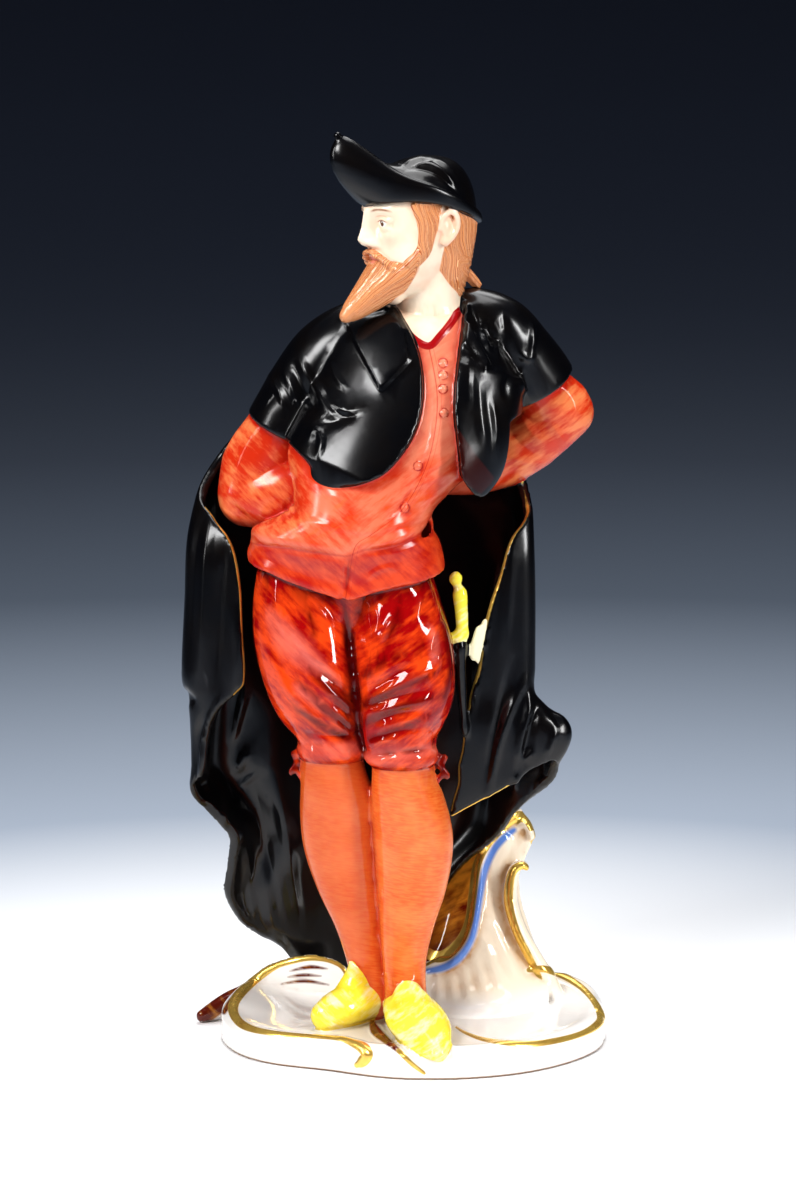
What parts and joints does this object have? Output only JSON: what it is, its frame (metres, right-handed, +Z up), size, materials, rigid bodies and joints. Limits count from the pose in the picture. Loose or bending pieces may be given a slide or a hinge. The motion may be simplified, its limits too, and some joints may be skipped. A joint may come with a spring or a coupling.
{
  "type": "commedia dell'arte porcelain figure",
  "caption": "Glazed porcelain figure of a comedy player in cap, open jacket, breeches and long cloak, standing on a scrolled base.",
  "frame": {"origin": "on the flat underside of the base, below the point between the crossed feet", "axes": "+Z up the figure, -Y the way the chest and slippers face, +X to the viewer's right"},
  "size_m": [0.0885, 0.0663, 0.1882],
  "materials": {
    "glazed_porcelain": "glossy clear glaze over black, red, orange, yellow, flesh, blue and gold painting"
  },
  "bodies": {
    "root": {"porcelain_figure": "glazed_porcelain"}
  },
  "joints": []
}
